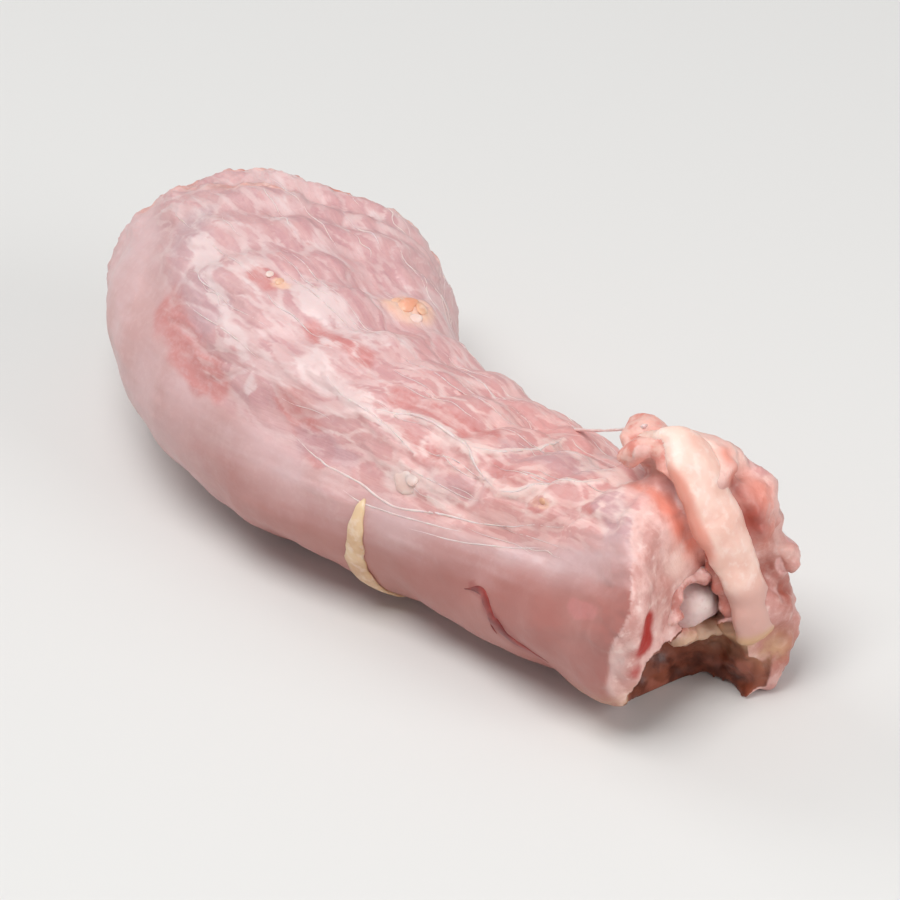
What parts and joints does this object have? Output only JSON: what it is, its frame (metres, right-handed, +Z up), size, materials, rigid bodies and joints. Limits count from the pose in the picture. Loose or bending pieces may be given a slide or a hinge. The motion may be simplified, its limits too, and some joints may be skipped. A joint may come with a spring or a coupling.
{
  "type": "raw turkey neck",
  "caption": "Skinned raw poultry neck, bent like a bow and cut through at its ends, with a band of fat over the cut and the neck bones showing.",
  "frame": {"origin": "on the ground, under the middle of the neck", "axes": "+X along the neck towards the cut end with the band of fat, -Y towards the outside of the bend, +Z up"},
  "size_m": [0.1554, 0.061, 0.0487],
  "materials": {
    "flesh": "wet, softly shining raw flesh under a thin pale membrane",
    "bone": "damp bone and gristle"
  },
  "bodies": {
    "root": {"neck_flesh": "flesh", "neck_bone": "bone"}
  },
  "joints": []
}
